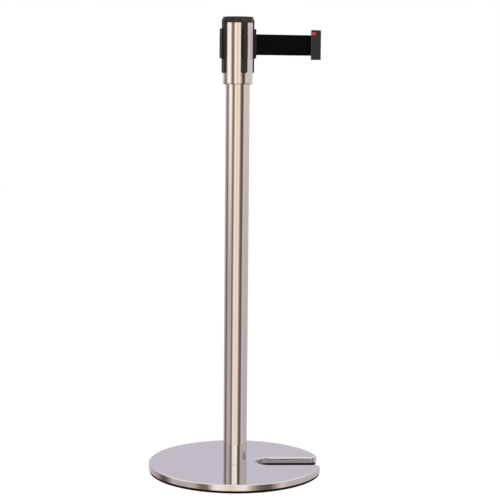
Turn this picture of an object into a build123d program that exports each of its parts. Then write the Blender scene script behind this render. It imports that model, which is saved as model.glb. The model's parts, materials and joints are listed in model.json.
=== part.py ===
from build123d import *

import math
import os

os.makedirs("parts", exist_ok=True)

# Retractable belt stanchion. Millimetres, +Z up, origin on the floor under the post.
# The nesting slot of the base points along +X. The head is turned about the post,
# so the belt leaves it at head_turn degrees from +X.

# Base: rubber pad, steel weight and a thin polished cover over both.
base_radius = 180.0
base_top = 18.0
pad_radius = 178.4
pad_top = 5.5
skin = 1.2
skin_gap = 0.1
cover_edge_round = 2.5
slot_half = 30.5
slot_end_x = 73.5
slot_mouth_round = 12.0

# M10 bolt that draws the post down on the base.
bolt_pocket_radius = 15.0
bolt_pocket_top = 12.5
bolt_hole_radius = 5.5
pad_recess_radius = 17.0
pad_recess_floor = 1.8
m10_radius = 5.0
m10_flats = 16.0
m10_head_bottom = 1.9
m10_head_top = 8.3
m10_tip = 28.0
spring_washer_top = 10.5
spring_washer_radius = 9.0
spring_washer_gap = 1.6
flat_washer_radius = 10.0
washer_bore_radius = 5.2

# Post tube and the plugs welded into its two ends.
post_radius = 24.5
post_wall = 1.2
post_top = 812.0
plug_radius = 23.25
foot_plug_top = 30.0
plug_chamfer = 0.8
top_plug_bottom = 788.0
top_plug_top = 799.0

# Head sleeve with four slots open at the top.
head_turn = 22.0
rib_angles = (0.0, 90.0, 180.0, 270.0)
sleeve_radius = 30.0
sleeve_wall = 1.0
sleeve_bottom = 801.5
sleeve_top = 924.5
neck_ring_top = 806.0
inner_gap = 0.1

# Core that joins the head to the post.
flange_top = 816.0
core_radius = 27.4
core_top = 853.1
core_cavity_radius = 10.0
core_cavity_floor = 822.0
m8_radius = 4.0
m8_hole_radius = 4.3
m8_flats = 13.0
m8_tip = 789.0
m8_washer_radius = 8.0
m8_washer_top = 823.6
m8_head_top = 828.9

# Ribs that fill the sleeve slots, each with a T-shaped rail for a belt end.
rib_half = 6.5
rib_bottom = 823.9
rib_corner = 3.0
rib_face = 33.3
rib_tongue_in = 27.5
rib_tongue_half = 9.0
rib_tongue_bottom = 816.2
rib_tongue_top = 923.0
rib_root = 28.2
slot_clearance = 0.1
rail_bottom = 850.8
rail_top = 912.6
rail_neck_half = 2.0
rail_flange_half = 4.5
rail_flange_in = 36.6
rail_face = 38.8
rail_foot_chamfer = 4.5
notch_bottom = 902.0
notch_top = 908.0
notch_depth = 0.8

# Belt, its roll and the slit it comes out of.
belt_middle = 881.5
belt_width = 42.0
belt_thickness = 0.5
slit_half = 0.9
slit_height = 46.0
roll_inner = 17.1
roll_outer = 24.2
belt_guide_x = 27.0
belt_guide_round = 1.2
belt_lift_off = 24.6

# Cassette that holds the spool, and the spool itself.
cup_radius = 27.4
cup_wall = 1.5
cup_floor_top = 856.1
lid_bottom = 907.0
lid_top = 910.0
cup_slit_y = (-1.5, 5.0)
thrust_washer = 0.8
thrust_gap = 0.1
thrust_radius = 9.0
flange_radius = 25.5
flange_thickness = 1.5
drum_radius = 17.0
drum_cavity = 15.0
axle_radius = 4.0
axle_fit = 0.05
axle_head_radius = 6.0
axle_head_bottom = 851.1
axle_top = 912.5
groove_radius = 3.2
groove_bottom = 910.1
groove_top = 911.1
axle_chamfer = 0.6
clip_radius = 6.0
clip_mouth = 5.6
spring_start = 5.2
spring_step = 0.8
spring_half_turns = 11
spring_thickness = 0.4
spring_margin = 3.0

# Cap with a lobe over each rib.
cap_radius = 30.3
cap_bottom = 924.6
cap_top = 936.7
cap_edge_round = 1.6
cap_plate = 3.5
cap_plug_radius = 27.0
cap_plug_wall = 2.0
cap_skirt_wall = 1.4
lobe_half = 6.6
cap_plug_bottom = 910.2
lobe_reach = 33.5
lobe_top_reach = 30.6
lobe_shoulder = 928.2
lobe_top = 934.8
lobe_root = 29.2

# Belt end: two shells screwed together, with a channel for the rail of another post.
end_inner_x = 168.2
front_inner_x = 164.9
end_outer_x = 185.2
end_half = 7.4
end_bottom = 852.0
end_top = 913.0
end_corner = 1.5
channel_x = (180.2, 183.0)
channel_half = 4.9
channel_mouth_half = 2.4
channel_top = 911.0
loop_x = 172.7
loop_radius = 2.3
pin_radius = 1.5
pin_fit = 0.05
pin_overhang = 2.0
belt_gap = 0.2
shell_screw_x = 177.4
shell_screw_z = (858.0, 889.0)
shell_screw_radius = 1.3
shell_screw_head = 2.3
shell_screw_head_y = 6.0
shell_screw_tip_y = -5.0

# Red lock lever on the inner corner of the front shell. It swings about a vertical pin.
lever_x = (164.7, 171.7)
lever_z = (898.0, 908.5)
lever_face_y = -8.2
lever_back_y = -6.3
lever_lip = 1.0
lever_lip_y = -5.6
lever_pivot = (178.4, -4.9)
lever_barrel = 1.5
lever_pin_radius = 0.9
lever_neck = ((171.0, -6.5), (171.7, -6.5), (173.7, -6.3), (173.9, -5.1), (171.2, -5.3))
lever_web = ((173.7, -6.3), (178.6, -6.3), (177.4, -4.0), (174.6, -4.9), (173.8, -5.1))
lever_arm = ((178.9, -6.3), (182.6, -5.75), (182.6, -4.95), (178.9, -4.2))
lever_nose = ((181.6, -5.2), (182.6, -5.2), (182.6, -4.15), (182.2, -4.15))
lever_nose_z = (901.0, 905.0)
pocket_gap = 0.4
pocket_x_end = 182.9
pocket_y = (-6.6, -3.4)
lever_pin_z = (896.2, 910.4)
lock_spring_x = 168.4
lock_spring_y = (-6.05, -3.65)
lock_spring_radius = 1.6
lock_spring_wire = 0.2
lock_spring_turns = 4


def level(z):
    """Horizontal plane of the head at height z, with x along the belt."""
    return Plane.XY.rotated((0, 0, head_turn)).offset(z)


def outward(angle, radius):
    """Upright plane facing outward at a rib: x runs sideways, y runs up."""
    turn = math.radians(head_turn + angle)
    ahead = Vector(math.cos(turn), math.sin(turn), 0)
    side = Vector(-math.sin(turn), math.cos(turn), 0)
    return Plane(origin=ahead * radius, x_dir=side, z_dir=ahead)


def along(angle):
    """Upright plane through the post axis and a rib: x runs outward, y runs up."""
    turn = math.radians(head_turn + angle)
    ahead = Vector(math.cos(turn), math.sin(turn), 0)
    across = Vector(math.sin(turn), -math.cos(turn), 0)
    return Plane(origin=(0, 0, 0), x_dir=ahead, z_dir=across)


def ring(bottom, top, outer, inner=0.0, mode=Mode.ADD):
    """Upright cylinder about the post axis, hollow when inner is given."""
    with BuildSketch(Plane.XY.offset(bottom)) as profile:
        Circle(outer)
        if inner > 0:
            Circle(inner, mode=Mode.SUBTRACT)
    extrude(profile.sketch, amount=top - bottom, mode=mode)


def block(bottom, top, x_span, y_span, mode=Mode.ADD):
    """Upright block in the head's own directions."""
    with BuildSketch(level(bottom)) as profile:
        with Locations((sum(x_span) / 2, sum(y_span) / 2)):
            Rectangle(x_span[1] - x_span[0], y_span[1] - y_span[0])
    extrude(profile.sketch, amount=top - bottom, mode=mode)


def rod(bottom, top, centre, radius, mode=Mode.ADD):
    """Upright cylinder at a point given in the head's own directions."""
    with BuildSketch(level(bottom)) as profile:
        with Locations(centre):
            Circle(radius)
    extrude(profile.sketch, amount=top - bottom, mode=mode)


def outline(*points):
    """Closed flat shape through the given points."""
    with BuildLine() as edge:
        Polyline(*points, close=True)
    make_face(edge.edges())


def base_outline(profile, radius, half):
    """Disc with the nesting slot cut in from its +X edge."""
    Circle(radius)
    with Locations((slot_end_x, 0)):
        Circle(half, mode=Mode.SUBTRACT)
    with Locations((slot_end_x + base_radius / 2, 0)):
        Rectangle(base_radius, 2 * half, mode=Mode.SUBTRACT)
    fillet(profile.vertices().group_by(Axis.X)[-1], radius=slot_mouth_round)


def rib_outline(half, bottom, top):
    """Upright strip with its two lower corners cut off."""
    outline(
        (-half, top),
        (-half, bottom + rib_corner),
        (rib_corner - half, bottom),
        (half - rib_corner, bottom),
        (half, bottom + rib_corner),
        (half, top),
    )


def rib_strip(angle):
    """Rib with its tongue inside the sleeve and the rail on its face."""
    with BuildSketch(level(rib_tongue_bottom).rotated((0, 0, angle))) as tongue:
        Circle(sleeve_radius - sleeve_wall - inner_gap)
        Circle(rib_tongue_in, mode=Mode.SUBTRACT)
        with Locations((rib_tongue_in, 0)):
            Rectangle(rib_tongue_half, 2 * rib_tongue_half, mode=Mode.INTERSECT)
    extrude(tongue.sketch, amount=rib_tongue_top - rib_tongue_bottom)
    with BuildSketch(outward(angle, rib_root)) as rib:
        rib_outline(rib_half, rib_bottom, sleeve_top)
    extrude(rib.sketch, amount=rib_face - rib_root)
    rail(angle)


def rail(angle):
    """T-shaped rail on a rib, sloping in at its foot, with a lock notch on each side."""
    with BuildSketch(along(angle)) as profile:
        outline(
            (rib_root, rail_bottom),
            (rail_face - rail_foot_chamfer, rail_bottom),
            (rail_face, rail_bottom + rail_foot_chamfer),
            (rail_face, rail_top),
            (rib_root, rail_top),
        )
    extrude(profile.sketch, amount=rail_flange_half, both=True)
    side_cuts(angle, rib_face, rail_flange_in, rail_neck_half, (rail_bottom, rail_top))
    notch_half = rail_flange_half - notch_depth
    side_cuts(angle, rail_flange_in, rail_face, notch_half, (notch_bottom, notch_top))


def side_cuts(angle, inner, outer, half, z_span):
    """Cut both sides of the rail back to the given half width."""
    middle = (rail_flange_half + half) / 2
    with BuildSketch(outward(angle, inner)) as sides:
        with Locations((-middle, sum(z_span) / 2), (middle, sum(z_span) / 2)):
            Rectangle(rail_flange_half - half, z_span[1] - z_span[0])
    extrude(sides.sketch, amount=outer - inner, mode=Mode.SUBTRACT)


def cap_lobe(angle):
    """Sloping lobe of the cap over one rib."""
    with BuildSketch(along(angle)) as profile:
        outline(
            (lobe_root, cap_bottom),
            (lobe_reach, cap_bottom),
            (lobe_reach, lobe_shoulder),
            (lobe_top_reach, lobe_top),
            (lobe_root, lobe_top),
        )
    extrude(profile.sketch, amount=lobe_half, both=True)


def end_block(inner_x):
    """Belt end from its inner edge outwards, before it is parted into its two shells."""
    with BuildSketch(level(end_bottom)) as profile:
        with Locations(((inner_x + end_outer_x) / 2, 0)):
            RectangleRounded(end_outer_x - inner_x, 2 * end_half, end_corner)
    extrude(profile.sketch, amount=end_top - end_bottom)
    belt_bottom = belt_middle - belt_width / 2 - belt_gap
    belt_top = belt_middle + belt_width / 2 + belt_gap
    slit = belt_thickness / 2 + belt_gap
    block(belt_bottom, belt_top, (inner_x - end_corner, loop_x), (-slit, slit), Mode.SUBTRACT)
    rod(belt_bottom, belt_top, (loop_x, 0), loop_radius, Mode.SUBTRACT)
    pin_bottom = belt_bottom - pin_overhang
    rod(pin_bottom, belt_top + pin_overhang, (loop_x, 0), pin_radius + pin_fit, Mode.SUBTRACT)
    block(end_bottom, channel_top, channel_x, (-channel_half, channel_half), Mode.SUBTRACT)
    mouth = (-channel_mouth_half, channel_mouth_half)
    block(end_bottom, channel_top, (channel_x[1], end_outer_x), mouth, Mode.SUBTRACT)
    screws(Mode.SUBTRACT)


def screws(mode=Mode.ADD):
    """Two screws across the belt end, heads flush with its rear face."""
    centres = [(shell_screw_x, z) for z in shell_screw_z]
    with BuildSketch(along(0).offset(-end_half)) as heads:
        with Locations(*centres):
            Circle(shell_screw_head)
    extrude(heads.sketch, amount=end_half - shell_screw_head_y, mode=mode)
    with BuildSketch(along(0).offset(-shell_screw_head_y)) as shanks:
        with Locations(*centres):
            Circle(shell_screw_radius)
    extrude(shanks.sketch, amount=shell_screw_head_y - shell_screw_tip_y, mode=mode)


def lever_pocket():
    """Window for the red pad and the hollow behind it for the lever."""
    bottom = lever_z[0] - pocket_gap
    top = lever_z[1] + pocket_gap
    x_start = lever_x[0] - pocket_gap
    block(bottom, top, (x_start, pocket_x_end), pocket_y, Mode.SUBTRACT)
    window = (-end_half - pocket_gap, pocket_y[1])
    block(bottom, top, (x_start, lever_x[1] + pocket_gap), window, Mode.SUBTRACT)
    rod(*lever_pin_z, lever_pivot, lever_pin_radius, Mode.SUBTRACT)


# ---- Base ----

with BuildPart() as floor_pad:
    with BuildSketch() as pad_profile:
        base_outline(pad_profile, pad_radius, slot_half)
    extrude(amount=pad_top)
    ring(pad_recess_floor, pad_top, pad_recess_radius, mode=Mode.SUBTRACT)
floor_pad.part.label = "floor_pad"
export_step(floor_pad.part, "parts/floor_pad.step")

with BuildPart() as base_weight:
    with BuildSketch(Plane.XY.offset(pad_top)) as weight_profile:
        wall = skin + skin_gap
        base_outline(weight_profile, base_radius - wall, slot_half + wall)
    extrude(amount=base_top - skin - pad_top)
    ring(pad_top, bolt_pocket_top, bolt_pocket_radius, mode=Mode.SUBTRACT)
    ring(bolt_pocket_top, base_top - skin, bolt_hole_radius, mode=Mode.SUBTRACT)
base_weight.part.label = "base_weight"
export_step(base_weight.part, "parts/base_weight.step")

with BuildPart() as base_cover:
    with BuildSketch(Plane.XY.offset(pad_top)) as cover_profile:
        base_outline(cover_profile, base_radius, slot_half)
    extrude(amount=base_top - pad_top)
    fillet(base_cover.faces().sort_by(Axis.Z)[-1].edges(), radius=cover_edge_round)
    with BuildSketch(Plane.XY.offset(pad_top)) as hollow_profile:
        base_outline(hollow_profile, base_radius - skin, slot_half + skin)
    extrude(amount=base_top - skin - pad_top, mode=Mode.SUBTRACT)
    ring(base_top - skin, base_top, bolt_hole_radius, mode=Mode.SUBTRACT)
base_cover.part.label = "base_cover"
export_step(base_cover.part, "parts/base_cover.step")

with BuildPart() as base_bolt:
    with BuildSketch(Plane.XY.offset(m10_head_bottom)):
        RegularPolygon(radius=m10_flats / 2, side_count=6, major_radius=False)
    extrude(amount=m10_head_top - m10_head_bottom)
    ring(m10_head_top, m10_tip, m10_radius)
    chamfer(base_bolt.faces().sort_by(Axis.Z)[-1].edges(), length=plug_chamfer)
base_bolt.part.label = "base_bolt"
export_step(base_bolt.part, "parts/base_bolt.step")

with BuildPart() as spring_washer:
    ring(m10_head_top, spring_washer_top, spring_washer_radius, washer_bore_radius)
    washer_middle = (spring_washer_radius + washer_bore_radius) / 2
    with BuildSketch(Plane.XY.offset(m10_head_top)):
        with Locations((washer_middle, 0)):
            Rectangle(washer_bore_radius, spring_washer_gap)
    extrude(amount=spring_washer_top - m10_head_top, mode=Mode.SUBTRACT)
spring_washer.part.label = "spring_washer"
export_step(spring_washer.part, "parts/spring_washer.step")

with BuildPart() as flat_washer:
    ring(spring_washer_top, bolt_pocket_top, flat_washer_radius, washer_bore_radius)
flat_washer.part.label = "flat_washer"
export_step(flat_washer.part, "parts/flat_washer.step")

# ---- Post ----

with BuildPart() as tube_foot:
    ring(base_top, foot_plug_top, plug_radius, m10_radius)
    chamfer(tube_foot.faces().sort_by(Axis.Z)[-1].edges(), length=plug_chamfer)
tube_foot.part.label = "tube_foot"
export_step(tube_foot.part, "parts/tube_foot.step")

with BuildPart() as post_tube:
    ring(base_top, post_top, post_radius, post_radius - post_wall)
post_tube.part.label = "post_tube"
export_step(post_tube.part, "parts/post_tube.step")

with BuildPart() as top_plug:
    ring(top_plug_bottom, top_plug_top, plug_radius, m8_radius)
    chamfer(top_plug.faces().sort_by(Axis.Z)[0].edges(), length=plug_chamfer)
top_plug.part.label = "top_plug"
export_step(top_plug.part, "parts/top_plug.step")

# ---- Head ----

sleeve_inner = sleeve_radius - sleeve_wall
inside_radius = sleeve_inner - inner_gap

with BuildPart() as neck_ring:
    ring(sleeve_bottom, neck_ring_top, inside_radius, post_radius + inner_gap)
neck_ring.part.label = "neck_ring"
export_step(neck_ring.part, "parts/neck_ring.step")

with BuildPart() as head_sleeve:
    ring(sleeve_bottom, sleeve_top, sleeve_radius, sleeve_inner)
    for angle in rib_angles:
        with BuildSketch(outward(angle, rib_tongue_in)):
            rib_outline(rib_half + slot_clearance, rib_bottom - slot_clearance, sleeve_top)
        extrude(amount=rib_face - rib_tongue_in, mode=Mode.SUBTRACT)
head_sleeve.part.label = "head_sleeve"
export_step(head_sleeve.part, "parts/head_sleeve.step")

with BuildPart() as head_core:
    ring(top_plug_top, post_top, plug_radius)
    ring(post_top, flange_top, inside_radius)
    ring(flange_top, core_top, core_radius)
    ring(core_cavity_floor, core_top, core_cavity_radius, mode=Mode.SUBTRACT)
    ring(top_plug_top, core_cavity_floor, m8_hole_radius, mode=Mode.SUBTRACT)
head_core.part.label = "head_core"
export_step(head_core.part, "parts/head_core.step")

with BuildPart() as head_washer:
    ring(core_cavity_floor, m8_washer_top, m8_washer_radius, m8_hole_radius)
head_washer.part.label = "head_washer"
export_step(head_washer.part, "parts/head_washer.step")

with BuildPart() as head_bolt:
    with BuildSketch(Plane.XY.offset(m8_washer_top)):
        RegularPolygon(radius=m8_flats / 2, side_count=6, major_radius=False)
    extrude(amount=m8_head_top - m8_washer_top)
    ring(m8_tip, m8_washer_top, m8_radius)
    chamfer(head_bolt.faces().sort_by(Axis.Z)[0].edges(), length=plug_chamfer)
head_bolt.part.label = "head_bolt"
export_step(head_bolt.part, "parts/head_bolt.step")

mouth_angle, rear_angle, left_angle, front_angle = rib_angles

with BuildPart() as receiver_rear:
    rib_strip(rear_angle)
receiver_rear.part.label = "receiver_rear"
export_step(receiver_rear.part, "parts/receiver_rear.step")

with BuildPart() as receiver_left:
    rib_strip(left_angle)
receiver_left.part.label = "receiver_left"
export_step(receiver_left.part, "parts/receiver_left.step")

with BuildPart() as receiver_front:
    rib_strip(front_angle)
receiver_front.part.label = "receiver_front"
export_step(receiver_front.part, "parts/receiver_front.step")

slit_bottom = belt_middle - slit_height / 2
slit_top = belt_middle + slit_height / 2

with BuildPart() as belt_mouth:
    rib_strip(mouth_angle)
    block(slit_bottom, slit_top, (core_radius / 2, end_inner_x), (-slit_half, slit_half), Mode.SUBTRACT)
belt_mouth.part.label = "belt_mouth"
export_step(belt_mouth.part, "parts/belt_mouth.step")

with BuildPart() as head_cap:
    ring(cap_bottom, cap_top, cap_radius)
    fillet(head_cap.faces().sort_by(Axis.Z)[-1].edges(), radius=cap_edge_round)
    for angle in rib_angles:
        cap_lobe(angle)
    hollow_top = cap_top - cap_plate
    ring(cap_bottom, hollow_top, cap_radius - cap_skirt_wall, mode=Mode.SUBTRACT)
    ring(cap_plug_bottom, hollow_top, cap_plug_radius, cap_plug_radius - cap_plug_wall)
head_cap.part.label = "head_cap"
export_step(head_cap.part, "parts/head_cap.step")

# ---- Cassette ----

axle_bore = axle_radius + axle_fit

with BuildPart() as cassette_body:
    ring(core_top, cup_floor_top, cup_radius, axle_bore)
    ring(cup_floor_top, lid_bottom, cup_radius, cup_radius - cup_wall)
    wall_span = (cup_radius - 2 * cup_wall, cup_radius + cup_wall)
    block(slit_bottom, slit_top, wall_span, cup_slit_y, Mode.SUBTRACT)
cassette_body.part.label = "cassette_body"
export_step(cassette_body.part, "parts/cassette_body.step")

with BuildPart() as cassette_lid:
    ring(lid_bottom, lid_top, cup_radius, axle_bore)
    chamfer(cassette_lid.faces().sort_by(Axis.Z)[-1].edges().sort_by(SortBy.LENGTH)[-1], length=axle_chamfer)
cassette_lid.part.label = "cassette_lid"
export_step(cassette_lid.part, "parts/cassette_lid.step")

with BuildPart() as spool_axle:
    ring(axle_head_bottom, core_top, axle_head_radius)
    ring(core_top, axle_top, axle_radius)
    ring(groove_bottom, groove_top, axle_head_radius, groove_radius, Mode.SUBTRACT)
    chamfer(spool_axle.faces().sort_by(Axis.Z)[-1].edges(), length=axle_chamfer)
spool_axle.part.label = "spool_axle"
export_step(spool_axle.part, "parts/spool_axle.step")

with BuildPart() as e_clip:
    ring(groove_bottom, groove_top, clip_radius, groove_radius)
    block(groove_bottom, groove_top, (0, clip_radius), (-clip_mouth / 2, clip_mouth / 2), Mode.SUBTRACT)
e_clip.part.label = "e_clip"
export_step(e_clip.part, "parts/e_clip.step")

with BuildPart() as washer_lower:
    ring(cup_floor_top, cup_floor_top + thrust_washer, thrust_radius, axle_bore)
washer_lower.part.label = "washer_lower"
export_step(washer_lower.part, "parts/washer_lower.step")

with BuildPart() as washer_upper:
    ring(lid_bottom - thrust_gap - thrust_washer, lid_bottom - thrust_gap, thrust_radius, axle_bore)
washer_upper.part.label = "washer_upper"
export_step(washer_upper.part, "parts/washer_upper.step")

drum_bottom = cup_floor_top + thrust_washer + thrust_gap
drum_top = lid_bottom - 2 * thrust_gap - thrust_washer - flange_thickness

with BuildPart() as spool_drum:
    ring(drum_bottom, drum_bottom + flange_thickness, flange_radius, axle_bore)
    ring(drum_bottom + flange_thickness, drum_top, drum_radius, drum_cavity)
spool_drum.part.label = "spool_drum"
export_step(spool_drum.part, "parts/spool_drum.step")

with BuildPart() as spool_flange:
    ring(drum_top, drum_top + flange_thickness, flange_radius, axle_bore)
spool_flange.part.label = "spool_flange"
export_step(spool_flange.part, "parts/spool_flange.step")

with BuildPart() as power_spring:
    spring_bottom = drum_bottom + flange_thickness + spring_margin
    with BuildSketch(Plane.XY.offset(spring_bottom)):
        with BuildLine():
            for turn in range(spring_half_turns):
                reach = spring_start + turn * spring_step
                shift = spring_step * (turn % 2)
                CenterArc((shift, 0), reach, 180 * (turn % 2), 180)
        trace(line_width=spring_thickness)
    extrude(amount=drum_top - spring_margin - spring_bottom)
power_spring.part.label = "power_spring"
export_step(power_spring.part, "parts/power_spring.step")

# ---- Belt ----

belt_bottom = belt_middle - belt_width / 2

with BuildPart() as belt_roll:
    ring(belt_bottom, belt_bottom + belt_width, roll_outer, roll_inner)
belt_roll.part.label = "belt_roll"
export_step(belt_roll.part, "parts/belt_roll.step")

leave_angle = math.acos(belt_lift_off / belt_guide_x)
leave_x = belt_lift_off * math.cos(leave_angle)
leave_y = belt_lift_off * math.sin(leave_angle)
loop_inner = pin_radius + pin_fit

with BuildPart() as belt:
    with BuildSketch(level(belt_bottom)):
        with BuildLine():
            FilletPolyline(
                (leave_x, leave_y),
                (belt_guide_x, 0),
                (loop_x - loop_inner, 0),
                radius=belt_guide_round,
            )
        trace(line_width=belt_thickness)
        with Locations((loop_x, 0)):
            Circle(loop_inner + belt_thickness)
            Circle(loop_inner, mode=Mode.SUBTRACT)
    extrude(amount=belt_width)
belt.part.label = "belt"
export_step(belt.part, "parts/belt.step")

# ---- Belt end ----

with BuildPart() as belt_end_front:
    end_block(front_inner_x)
    lever_pocket()
    split(bisect_by=along(0), keep=Keep.TOP)
belt_end_front.part.label = "belt_end_front"
export_step(belt_end_front.part, "parts/belt_end_front.step")

with BuildPart() as belt_end_back:
    end_block(end_inner_x)
    split(bisect_by=along(0), keep=Keep.BOTTOM)
belt_end_back.part.label = "belt_end_back"
export_step(belt_end_back.part, "parts/belt_end_back.step")

pin_reach = belt_width / 2 + belt_gap + pin_overhang

with BuildPart() as clamp_pin:
    rod(belt_middle - pin_reach, belt_middle + pin_reach, (loop_x, 0), pin_radius)
clamp_pin.part.label = "clamp_pin"
export_step(clamp_pin.part, "parts/clamp_pin.step")

with BuildPart() as shell_screws:
    screws()
shell_screws.part.label = "shell_screws"
export_step(shell_screws.part, "parts/shell_screws.step")

with BuildPart() as lock_lever:
    with BuildSketch(level(lever_z[0])):
        outline(
            (lever_x[0], lever_face_y),
            (lever_x[1], lever_face_y),
            (lever_x[1], lever_back_y),
            (lever_x[0] + lever_lip, lever_back_y),
            (lever_x[0] + lever_lip, lever_lip_y),
            (lever_x[0], lever_lip_y),
        )
        outline(*lever_neck)
        outline(*lever_web)
        outline(*lever_arm)
        with Locations(lever_pivot):
            Circle(lever_barrel)
            Circle(lever_pin_radius + pin_fit, mode=Mode.SUBTRACT)
    extrude(amount=lever_z[1] - lever_z[0])
    with BuildSketch(level(lever_nose_z[0])):
        outline(*lever_nose)
    extrude(amount=lever_nose_z[1] - lever_nose_z[0])
lock_lever.part.label = "lock_lever"
export_step(lock_lever.part, "parts/lock_lever.step")

with BuildPart() as lever_pin:
    rod(*lever_pin_z, lever_pivot, lever_pin_radius)
lever_pin.part.label = "lever_pin"
export_step(lever_pin.part, "parts/lever_pin.step")

spring_height = lock_spring_y[1] - lock_spring_y[0]
lock_spring_z = sum(lever_z) / 2
spring_foot = along(0).from_local_coords(Vector(lock_spring_x, lock_spring_z, -lock_spring_y[1]))

with BuildPart() as lock_spring:
    with BuildLine() as coil:
        Helix(
            pitch=spring_height / lock_spring_turns,
            height=spring_height,
            radius=lock_spring_radius,
            center=spring_foot,
            direction=along(0).z_dir,
        )
    with BuildSketch(Plane(origin=coil.line @ 0, z_dir=coil.line % 0)):
        Circle(lock_spring_wire)
    sweep(is_frenet=True)
lock_spring.part.label = "lock_spring"
export_step(lock_spring.part, "parts/lock_spring.step")
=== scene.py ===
# %% [markdown]
# # A retractable belt stanchion
#
# Shops and banks guide a queue with posts like this one. A polished tube stands on a heavy
# round base, and its head holds a belt on a sprung reel. The belt ends in a plastic clip that
# slides on to a rail on the next post. The metal is the hard part to show well: polished steel
# has almost no look of its own, so most of the work is in what surrounds it.

# %% Load the fixed frame
import json
import math

import bmesh
import bpy
from mathutils import Matrix, Vector


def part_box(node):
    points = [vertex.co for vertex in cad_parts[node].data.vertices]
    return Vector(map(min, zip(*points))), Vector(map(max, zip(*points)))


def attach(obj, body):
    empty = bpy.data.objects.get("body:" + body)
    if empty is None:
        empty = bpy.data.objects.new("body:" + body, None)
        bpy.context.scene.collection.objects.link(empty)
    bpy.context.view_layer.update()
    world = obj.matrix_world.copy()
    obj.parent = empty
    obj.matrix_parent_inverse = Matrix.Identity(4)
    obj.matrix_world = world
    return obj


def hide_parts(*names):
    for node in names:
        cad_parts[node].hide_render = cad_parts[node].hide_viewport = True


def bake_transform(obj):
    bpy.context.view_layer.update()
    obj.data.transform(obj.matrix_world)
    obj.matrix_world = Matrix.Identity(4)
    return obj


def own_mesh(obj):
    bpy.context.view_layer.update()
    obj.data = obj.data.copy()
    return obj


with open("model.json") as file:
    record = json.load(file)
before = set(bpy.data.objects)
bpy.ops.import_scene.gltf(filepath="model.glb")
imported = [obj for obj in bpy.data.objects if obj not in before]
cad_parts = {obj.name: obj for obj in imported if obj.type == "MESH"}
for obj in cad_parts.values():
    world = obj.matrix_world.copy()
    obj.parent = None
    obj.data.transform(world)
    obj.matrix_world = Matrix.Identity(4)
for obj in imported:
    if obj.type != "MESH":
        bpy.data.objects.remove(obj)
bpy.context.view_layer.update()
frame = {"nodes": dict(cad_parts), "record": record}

print("nodes in the frame:", len(frame["nodes"]))

# %% [markdown]
# ## The camera
#
# The camera comes first, because every later choice is judged through it. It stands three
# metres away at chest height and looks slightly down, so the base shows as a flat ellipse while
# the post stays almost upright. A long lens keeps the sides of the post parallel. The camera
# stands a little to the left of the slot's own front, and its tiny roll is that of a hand-held
# camera.

# %% Camera
camera_turn = math.radians(-2.4)
camera_place = (0.0278, -3.0404, 0.8337)
camera_pitch = -0.1213
camera_roll = 0.0085
camera_lens = 107.3

camera_data = bpy.data.cameras.new("camera")
camera_data.lens = camera_lens
camera_data.sensor_width = 36.0
camera = bpy.data.objects.new("camera", camera_data)
bpy.context.collection.objects.link(camera)
round_object = Matrix.Rotation(camera_turn, 4, "Z")
tilt = Matrix.Rotation(math.pi / 2 + camera_pitch, 4, "X") @ Matrix.Rotation(camera_roll, 4, "Z")
camera.matrix_world = round_object @ Matrix.Translation(camera_place) @ tilt
bpy.context.scene.camera = camera
bpy.context.scene.view_settings.view_transform = "Standard"
print("camera lens:", camera_data.lens)

# %% [markdown]
# ## Writing materials as sums
#
# A material is a graph of nodes. Drawing one by hand is slow to read in a script, so two small
# classes do it. `Value` wraps one output, and arithmetic on it adds Math nodes. `Nodes` adds
# every other kind of node from its type, its settings and its inputs.

# %% Shader maths
class Value:
    """One output of a node. Sums and products of values add Math nodes."""

    def __init__(self, nodes, socket):
        self.nodes = nodes
        self.socket = socket

    def math(self, operation, first, second=0.0):
        inputs = {0: first, 1: second}
        return self.nodes.add("ShaderNodeMath", "Value", {"operation": operation}, inputs)

    def __add__(self, other):
        return self.math("ADD", self, other)

    def __radd__(self, other):
        return self.math("ADD", other, self)

    def __sub__(self, other):
        return self.math("SUBTRACT", self, other)

    def __rsub__(self, other):
        return self.math("SUBTRACT", other, self)

    def __mul__(self, other):
        return self.math("MULTIPLY", self, other)

    def __truediv__(self, other):
        return self.math("DIVIDE", self, other)

    def sine(self):
        return self.math("SINE", self)

    def size(self):
        return self.math("ABSOLUTE", self)

    def above(self, level):
        return self.math("GREATER_THAN", self, level)


class Nodes:
    """The node graph of one material or of the world."""

    def __init__(self, owner):
        owner.use_nodes = True
        self.tree = owner.node_tree
        self.tree.nodes.clear()

    def add(self, kind, output, settings=None, inputs=None):
        node = self.tree.nodes.new(kind)
        for name, setting in (settings or {}).items():
            if name == "stops":
                self.set_stops(node.color_ramp, setting)
            else:
                setattr(node, name, setting)
        for name, given in (inputs or {}).items():
            if isinstance(given, Value):
                self.tree.links.new(given.socket, node.inputs[name])
            else:
                node.inputs[name].default_value = given
        return Value(self, node.outputs[output]) if output is not None else node

    def set_stops(self, ramp, stops):
        while len(ramp.elements) < len(stops):
            ramp.elements.new(1.0)
        for element, (place, colour) in zip(ramp.elements, stops):
            element.position = place
            element.color = (*colour, 1.0)

    def mix(self, factor, first, second):
        settings = {"data_type": "RGBA"}
        node = self.add("ShaderNodeMix", None, settings, {0: factor, 6: first, 7: second})
        return Value(self, node.outputs[2])

    def math_max(self, first, *others):
        for other in others:
            first = first.math("MAXIMUM", first, other)
        return first

    def split(self, vector):
        node = self.add("ShaderNodeSeparateXYZ", None, {}, {0: vector})
        return [Value(self, socket) for socket in node.outputs]


print("shader classes ready")

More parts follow.
